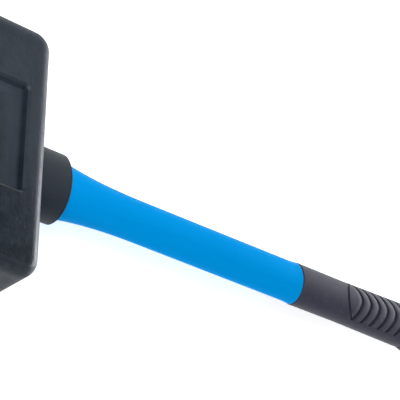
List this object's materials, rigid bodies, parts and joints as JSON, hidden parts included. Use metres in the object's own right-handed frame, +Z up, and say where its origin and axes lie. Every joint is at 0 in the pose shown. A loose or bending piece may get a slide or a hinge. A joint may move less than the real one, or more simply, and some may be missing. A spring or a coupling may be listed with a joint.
{
  "type": "dead blow mallet",
  "caption": "Rectangular rubber-headed dead blow mallet with a shot canister in its head, on a jacketed fibreglass handle with a ribbed rubber grip.",
  "frame": {"origin": "middle of the overall length and of the head's height, on the surface that the mallet lies on", "axes": "+X along the handle from the head to the butt, +Y along the striking axis, +Z up out of the head's upper broad face"},
  "size_m": [0.4606, 0.162, 0.068],
  "materials": {
    "head_rubber": "matt black moulded rubber with a faint sheen",
    "collar_rubber": "matt black rubber",
    "grip_rubber": "soft matt black rubber",
    "jacket_plastic": "semi-gloss bright blue moulded plastic",
    "fibreglass": "pultruded, straw coloured",
    "epoxy": "amber, poured",
    "socket_steel": "drawn tube",
    "weld_metal": "as welded",
    "pin_steel": "hardened and blackened",
    "canister_steel": "drawn tube with turned plugs",
    "shot_steel": "bright cut bar"
  },
  "bodies": {
    "mallet": {"head_casing": "head_rubber", "neck_collar": "collar_rubber", "handle_jacket": "jacket_plastic", "grip_sleeve": "grip_rubber", "core_rod": "fibreglass", "epoxy_bond": "epoxy", "socket_tube": "socket_steel", "socket_weld": "weld_metal", "roll_pin": "pin_steel", "shot_canister": "canister_steel", "canister_plug_a": "canister_steel", "canister_plug_b": "canister_steel"},
    "shot_load": {"steel_shot": "shot_steel"}
  },
  "joints": [
    {"name": "shot_slide", "type": "slide", "parent": "mallet", "child": "shot_load", "axis": [0, 1, 0], "range_m": [-0.0182, 0.0182]}
  ]
}
